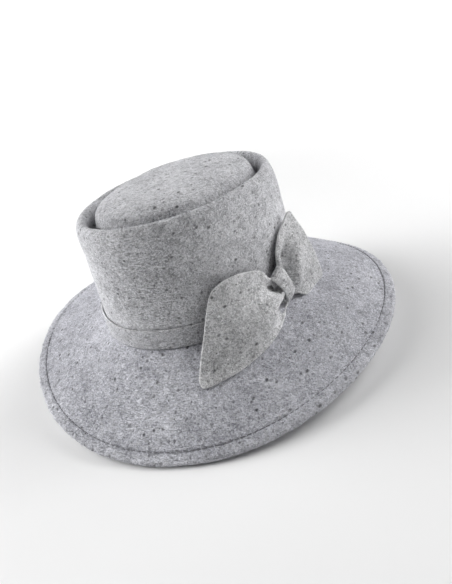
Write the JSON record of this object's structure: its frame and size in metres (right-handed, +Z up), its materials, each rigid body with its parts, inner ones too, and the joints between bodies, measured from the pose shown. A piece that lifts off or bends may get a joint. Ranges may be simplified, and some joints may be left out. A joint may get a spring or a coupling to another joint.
{
  "type": "wide-brim felt hat",
  "caption": "Heather-grey wool-felt hat with a telescope crown, a wired and stitched down-turned brim, a narrow felt band and a felt bow on the wearer's left.",
  "frame": {"origin": "centre of the brim's outline, at the height of the lowest point of the brim's edge, which stands on the surface", "axes": "+Z up through the crown, front of the hat towards -Y, wearer's left (bow side) towards +X"},
  "size_m": [0.342, 0.356, 0.165],
  "materials": {
    "felt_crown": "brushed heather-grey wool felt",
    "felt_brim": "brushed heather-grey wool felt",
    "felt_band": "heather-grey wool felt strip",
    "felt_bow": "heather-grey wool felt, cut edges paler",
    "thread": "twisted grey sewing thread",
    "grosgrain": "ribbed charcoal grosgrain ribbon",
    "spring_wire": "drawn spring wire",
    "ferrule_metal": "plain crimped tube"
  },
  "bodies": {
    "root": {"crown": "felt_crown", "brim": "felt_brim", "brim_wire": "spring_wire", "wire_joiner": "ferrule_metal", "hem_needle_thread": "thread", "hem_bobbin_thread": "thread", "crown_seam_stitches": "thread", "hat_band": "felt_band", "band_tack_stitches": "thread", "bow_front_leaf": "felt_bow", "bow_rear_leaf": "felt_bow", "bow_knot": "felt_bow", "bow_tack_stitches": "thread", "sweatband": "grosgrain", "sweatband_stitches": "thread"}
  },
  "joints": []
}
